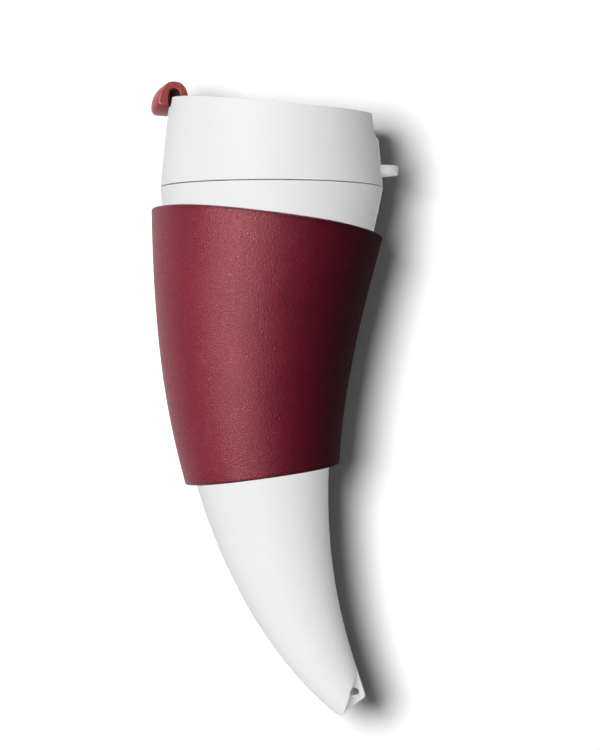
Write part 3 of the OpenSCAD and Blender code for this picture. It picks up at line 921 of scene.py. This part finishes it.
def hinge_pin():
    """The steel pin through the lugs and the barrel."""
    length = 2 * (LUG_Y + LUG_T)
    along = Matrix.Translation((0, -length / 2, -HINGE_DROP)) @ Matrix.Rotation(-math.pi / 2, 4, "X")
    bm, _ = turned([along @ level(0, PIN_R), along @ level(length, PIN_R)], PIN_SIDES)
    round_edges(bm, sharp_edges(bm), PIN_ROUND, segments=3)
    return move(bm, RIM)


# Sleeve

def wrap(start, length, inner, outer, turn, rounding, end_round, rings):
    """A sheet wrapped round the horn, with its sides meeting at a turn off the back, and round edges."""
    bm = bmesh.new()
    first = bm.verts.new((-math.sin(turn + SEAM_OPEN), math.cos(turn + SEAM_OPEN), 0))
    bmesh.ops.spin(
        bm, geom=[first], cent=(0, 0, 0), axis=(0, 0, 1), angle=math.tau - 2 * SEAM_OPEN, steps=2 * SIDES,
        use_duplicate=False,
    )
    shares = [(start + length * k / rings) / HORN_LENGTH for k in range(rings + 1)]
    places = [ring_place(u, horn_radius(u) + outer) for u in shares]
    bmesh.ops.transform(bm, matrix=places[0], verts=bm.verts)
    sweep(bm, bm.edges[:], places)
    bmesh.ops.recalc_face_normals(bm, faces=bm.faces)
    centre = ring_place(shares[rings // 2], 1).translation
    bm.faces.ensure_lookup_table()
    face = bm.faces[len(bm.faces) // 2]
    if face.normal.dot(face.calc_center_median() - centre) < 0:
        bmesh.ops.reverse_faces(bm, faces=bm.faces)
    bmesh.ops.solidify(bm, geom=bm.faces[:], thickness=outer - inner)
    bmesh.ops.recalc_face_normals(bm, faces=bm.faces)
    middle = (inner + outer) / 2
    rims = [e for e in sharp_edges(bm, STEEP_ANGLE) if on_outer_rim(e, (places[0], places[-1]), middle)]
    round_edges(bm, rims, end_round, segments=6)
    round_edges(bm, sharp_edges(bm, STEEP_ANGLE), rounding, segments=5)
    return bm


def on_outer_rim(edge, ends, depth):
    """Whether an edge of a wrap lies at one of its ends, further out from the horn than a depth."""
    middle = (edge.verts[0].co + edge.verts[1].co) / 2
    u = axis_share(middle)
    out = (middle - ring_place(u, 1).translation).length - horn_radius(u)
    gaps = [(middle - end.translation).dot(end.col[2].xyz.normalized()) for end in ends]
    return out > depth and min(abs(gap) for gap in gaps) < 10 * WELD


def axis_share(point):
    """Share of the horn's length at which a point lies."""
    nearest = min(range(len(AXIS)), key=lambda k: (AXIS[k] - point).length_squared)
    return nearest / AXIS_STEPS


def sleeve_leather():
    """The leather: a slight wave in its skin, bowed ends, and edges marked as burnished."""
    bm = wrap(
        SLEEVE_START, SLEEVE_LENGTH, LEATHER_IN, LEATHER_OUT, 0, LEATHER_ROUND, LEATHER_END_ROUND,
        LEATHER_RINGS,
    )
    edge = bm.verts.layers.float.new("edge")
    top, low = [ring_place((SLEEVE_START + d) / HORN_LENGTH, 1) for d in (0, SLEEVE_LENGTH)]
    up, down = top.col[2].xyz, -low.col[2].xyz
    moves = []
    for v in bm.verts:
        below_top = (top.translation - v.co).dot(up)
        above_low = (low.translation - v.co).dot(down)
        depth = min(abs(below_top), abs(above_low))
        v[edge] = 1 - share(depth, *LEATHER_BURNISH)
        wave = noise.noise(v.co / LEATHER_WAVE_LENGTH) * share(depth, *LEATHER_WAVE_FADE)
        sink = v.normal * LEATHER_WAVE * (0.5 + 0.5 * wave)
        along = share(below_top, 0, below_top + above_low)
        radius = horn_radius((SLEEVE_START + along * SLEEVE_LENGTH) / HORN_LENGTH) + LEATHER_OUT
        facing = share(abs(v.co.y), 0, radius)
        facing *= facing * (3 - 2 * facing)
        bow = up * TOP_BOW * (1 - along) ** 2 + down * LOW_BOW * along ** 2
        moves.append((v, bow * facing - sink))
    for v, shift in moves:
        v.co += shift
    return bm


def ply_places(u, phase):
    """Places of a ply's section along the stitch that crosses the seam at a share u of the horn's length."""
    radius = horn_radius(u) + LEATHER_OUT
    ground = ring_place(u, 1) @ Matrix.Rotation(STITCH_SLANT, 4, "Y")
    section = Matrix.Rotation(math.pi / 2, 4, "Y") @ Matrix.Scale(PLY_R, 4)
    places = []
    for i in range(STITCH_STEPS + 1):
        x = STITCH_W * (i / STITCH_STEPS - 0.5)
        dive = abs(2 * i / STITCH_STEPS - 1) ** STITCH_DIVE_POWER
        height = math.sqrt(radius ** 2 - x ** 2) + STITCH_LIFT - dive * STITCH_DIVE
        twist = phase + math.tau * x / PLY_TWIST
        spot = (x, height + PLY_OFF * math.cos(twist), PLY_OFF * math.sin(twist))
        places.append(ground @ Matrix.Translation(spot) @ section)
    return places


def seam_thread():
    """Slanting stitches of two-ply thread, each from a hole on one side of the seam to one on the other."""
    bm = bmesh.new()
    for along in spaced(STITCH_MARGIN, SLEEVE_LENGTH - STITCH_MARGIN, STITCH_COUNT - 1):
        for phase in (0, math.pi):
            places = ply_places((SLEEVE_START + along) / HORN_LENGTH, phase)
            chains = sweep(bm, circle(bm, places[0], PLY_SIDES, cap=True), places)
            bmesh.ops.contextual_create(bm, geom=chains[-1])
    bmesh.ops.recalc_face_normals(bm, faces=bm.faces)
    return bm


# The pieces

horn_white = white_plastic("horn_white")
lid_white = white_plastic("lid_white")
# The stopper's deep red is its grain's darker tone, and also the painted shade inside the hook's arch.
stopper_red = moulded_plastic(
    "stopper_red", rgb(0.33, 0.036, 0.03), rgb(0.27, 0.024, 0.02), roughness=0.36, grain=0.1, shine=0.8,
)
leather = wine_leather()
lining_felt = felt("lining_felt", rgb(0.10, 0.016, 0.025), rgb(0.04, 0.006, 0.01))
seal_silicone = silicone("seal_silicone", rgb(0.78, 0.78, 0.77), rgb(0.7, 0.7, 0.69))
plug_silicone = silicone("plug_silicone", rgb(0.3, 0.035, 0.033), rgb(0.22, 0.022, 0.022))

shell = carve(horn_shell(), [
    web_cutter(-1),
    web_cutter(1),
    drill(strap_place() @ Matrix.Rotation(math.pi / 2, 4, "X"), STRAP_HOLE_R, WEB_T, STRAP_HOLE_FLARE),
])
piece("horn_shell", shell, horn_white, "cup", "horn_white", "horn_cup")
neck_thread = thread_ridge(NECK_R, 1, *NECK_THREAD, 0)
piece("neck_thread", neck_thread, horn_white, "cup", "horn_white", "horn_cup")
piece("lid_wall", lid_wall(), lid_white, "lid", "lid_white", "lid_cover")
piece("lid_deck", lid_deck(), lid_white, "lid", "lid_white", "lid_cover")
piece("hinge_lugs", hinge_lugs(), lid_white, "lid", "lid_white", "lid_cover")
piece("strap_eye", strap_eye(), lid_white, "lid", "lid_white", "lid_cover")
piece("threaded_collar", lid_collar(), lid_white, "lid", "lid_white", "lid_collar")
collar_thread = thread_ridge(COLLAR_R, -1, *COLLAR_THREAD, -THREAD_W)
piece("collar_thread", collar_thread, lid_white, "lid", "lid_white", "lid_collar")
piece("neck_gasket", lid_gasket(), seal_silicone, "gasket", "seal_silicone", "lid_gasket")
piece("flip_hook", flip_arm(), stopper_red, "stopper", "stopper_red", "flip_arm")
piece("stopper_plug", drink_plug(), plug_silicone, "stopper", "plug_silicone", "drink_plug")
piece("steel_pin", hinge_pin(), drawn_steel(), "lid", "pin_steel", "hinge_pin")
piece("leather_wrap", sleeve_leather(), leather, "sleeve", "wine_leather", "sleeve_leather")
felt_lining = wrap(
    SLEEVE_START + LINING_INSET, SLEEVE_LENGTH - 2 * LINING_INSET, LINING_IN, LINING_OUT, LINING_TURN,
    LINING_ROUND, LINING_ROUND, LINING_RINGS,
)
piece("felt_lining", felt_lining, lining_felt, "sleeve", "lining_felt", "sleeve_lining")
piece("seam_stitches", seam_thread(), waxed_thread(), "sleeve", "wine_thread", "seam_thread")


# The stage

VIEW_CENTRE = Vector((10.2 * MM, 0, -67.3 * MM))
CAMERA_DISTANCE = 0.94
CAMERA_SENSOR = 36
FRAME_HEIGHT = 0.27
BACKDROP_Y = 0.0435
BACKDROP_SIZE = 1.2
FLOOR_Z = -0.33
FLOOR_SIZE = 4
AMBIENT = 0.03
PAPER_SEEN = 1.3
PAPER_BOUNCE = 0.4
PAPER_GLOSS = 0.95
# What reflections see of the paper on the side away from the lamps: painted shade
PAPER_PAINTED_SHADE = 0.08
PAPER_TURN = (-10 * MM, 50 * MM)
ROOM_TURN = (0.2, 0.7)
FLOOR_SEEN = 0.4
FLOOR_GLOW = 0.6
FLOOR_BOUNCE = 0.06


def clear_from_behind(f, paper):
    """Lets the camera through the back of a sheet of paper."""
    behind = f.node("ShaderNodeNewGeometry", out="Backfacing")
    clear = f.node("ShaderNodeBsdfTransparent")
    return f.node("ShaderNodeMixShader", None, {0: behind, 1: paper, 2: clear})


def backdrop_paper():
    """Matt white paper, clear from behind.

    Gloss sees it white on the side that the lamps stand on, and dark on the other side: painted shade that
    only reflections show.
    """
    f = Finish("backdrop_paper")
    camera_ray = f.node("ShaderNodeLightPath", out="Is Camera Ray")
    glossy_ray = f.node("ShaderNodeLightPath", out="Is Glossy Ray")
    across = f.node("ShaderNodeSeparateXYZ", None, {0: f.coords()}, out="X")
    # Reflections of the paper darken to painted shade on the side away from the lamps.
    mirrored_with_painted_shade = f.blend(f.ramp(across, *PAPER_TURN), grey(PAPER_GLOSS), grey(PAPER_PAINTED_SHADE))
    thrown = f.blend(glossy_ray, grey(PAPER_BOUNCE), mirrored_with_painted_shade)
    paper = f.node("ShaderNodeBsdfDiffuse", None, {"Color": f.blend(camera_ray, thrown, grey(PAPER_SEEN))})
    return f.surface(clear_from_behind(f, paper))


def floor_paper():
    """Matt pale paper, clear from below, that keeps the object's shadow and throws little light back up."""
    f = Finish("floor_paper")
    camera_ray = f.node("ShaderNodeLightPath", out="Is Camera Ray")
    colour = f.blend(camera_ray, grey(FLOOR_BOUNCE), grey(FLOOR_SEEN))
    paper = f.node("ShaderNodeBsdfDiffuse", None, {"Color": colour})
    glow = f.node("ShaderNodeEmission", None, {"Strength": camera_ray * FLOOR_GLOW})
    return f.surface(clear_from_behind(f, f.node("ShaderNodeAddShader", None, {0: paper, 1: glow})))


def pale_room():
    """The world: white to the camera, white to gloss and glass behind the object, and faint elsewhere."""
    f = Finish("pale_room", bpy.data.worlds)
    direction = f.node("ShaderNodeTexCoord", out="Generated")
    behind = f.node("ShaderNodeSeparateXYZ", None, {0: direction}, out="Y")
    glossy = f.node("ShaderNodeLightPath", out="Is Glossy Ray")
    through = f.node("ShaderNodeLightPath", out="Is Transmission Ray")
    seen = f.node("ShaderNodeLightPath", out="Is Camera Ray")
    white = seen | (glossy | through) * f.ramp(behind, *ROOM_TURN)
    light = f.node("ShaderNodeBackground", None, {"Strength": AMBIENT + white * (1 - AMBIENT)})
    return f.surface(light, "ShaderNodeOutputWorld")


def sheet(name, place, size, finish):
    """A square of paper of the stage."""
    bm = bmesh.new()
    bmesh.ops.create_grid(bm, x_segments=4, y_segments=4, size=size / 2, matrix=place)
    made = as_object(name, bm)
    made.data.materials.append(finish)
    return made


def softbox(name, azimuth, elevation, distance, size, strength, lit, light=True, shine=True):
    """A soft oval lamp aimed at the middle of the view, from an azimuth to the camera's right.

    At a strength of 1, what faces it shows its colour as it is written. It lights only what lit holds, and
    only the object throws shadows: its white pieces alone, where they are all that is lit.
    """
    lamp = bpy.data.lights.new(name, "AREA")
    lamp.shape = "ELLIPSE"
    lamp.size, lamp.size_y = size
    lamp.energy = strength * (math.pi * distance) ** 2
    made = bpy.data.objects.new(name, lamp)
    made.visible_diffuse = light
    made.visible_glossy = shine
    bpy.context.scene.collection.objects.link(made)
    a, e = math.radians(azimuth), math.radians(elevation)
    out = Vector((math.sin(a) * math.cos(e), -math.cos(a) * math.cos(e), math.sin(e)))
    made.location = VIEW_CENTRE + out * distance
    made.rotation_mode = "QUATERNION"
    made.rotation_quaternion = out.to_track_quat("Z", "Y")
    linking = made.light_linking
    linking.receiver_collection = bpy.data.collections.new(name + "_lit")
    linking.blocker_collection = bpy.data.collections.new(name + "_shadows")
    for thing in lit:
        linking.receiver_collection.objects.link(thing)
    shading = white if lit is white else white + coloured
    for thing in shading:
        linking.blocker_collection.objects.link(thing)


backdrop_place = Matrix.Translation((VIEW_CENTRE.x, BACKDROP_Y, VIEW_CENTRE.z))
upright = backdrop_place @ Matrix.Rotation(math.pi / 2, 4, "X")
backdrop = sheet("backdrop", upright, BACKDROP_SIZE, backdrop_paper())
floor = sheet("floor", Matrix.Translation((0, 0, FLOOR_Z)), FLOOR_SIZE, floor_paper())
bpy.context.scene.world = pale_room()

shown = [p for p in bpy.context.scene.objects if p.type == "MESH" and p.data.materials]
white = [p for p in shown if p.data.materials[0] in (horn_white, lid_white, seal_silicone)]
coloured = [p for p in shown if p not in white and p not in (backdrop, floor)]

# Name, azimuth, elevation, distance, size, strength, and what is lit
softbox("key", -39, 2, 1.3, (1.0, 1.2), 1.16, coloured, shine=False)
softbox("key_shine", -27, 2, 1.3, (0.75, 1.2), 1.5, coloured, light=False)
softbox("paper_key", -15.3, 4.4, 0.9, (0.34, 0.3), 1.0, [backdrop])
softbox("paper_fill", 10, 20, 1.3, (1.2, 1.2), 0.05, [backdrop])
softbox("white_high", -22, 40, 1.3, (1.1, 1.1), 0.8, white)
softbox("white_left", -90, -40, 1.3, (1.1, 1.1), 0.36, white)
softbox("white_low", -15, -40, 1.3, (1.1, 1.1), 0.46, white)
softbox("white_right", 60, -40, 1.3, (1.1, 1.1), 0.42, white)
softbox("white_top", -20, 78, 1.2, (0.9, 0.9), 0.15, white)
softbox("white_back", 180, 15, 1.3, (0.9, 1.0), 0.6, white)
softbox("top", -20, 78, 1.2, (0.9, 0.9), 0.5, coloured + [floor])
softbox("back", 180, 45, 1.3, (0.9, 1.0), 0.8, coloured)

camera_data = bpy.data.cameras.new("camera")
camera_data.sensor_fit = "AUTO"
camera_data.sensor_width = CAMERA_SENSOR
camera_data.lens = camera_data.sensor_width * CAMERA_DISTANCE / FRAME_HEIGHT
camera = bpy.data.objects.new("camera", camera_data)
bpy.context.scene.collection.objects.link(camera)
camera.location = VIEW_CENTRE + Vector((0, -CAMERA_DISTANCE, 0))
camera.rotation_euler = (math.pi / 2, 0, 0)
bpy.context.scene.camera = camera

bpy.context.scene.view_settings.view_transform = "Standard"
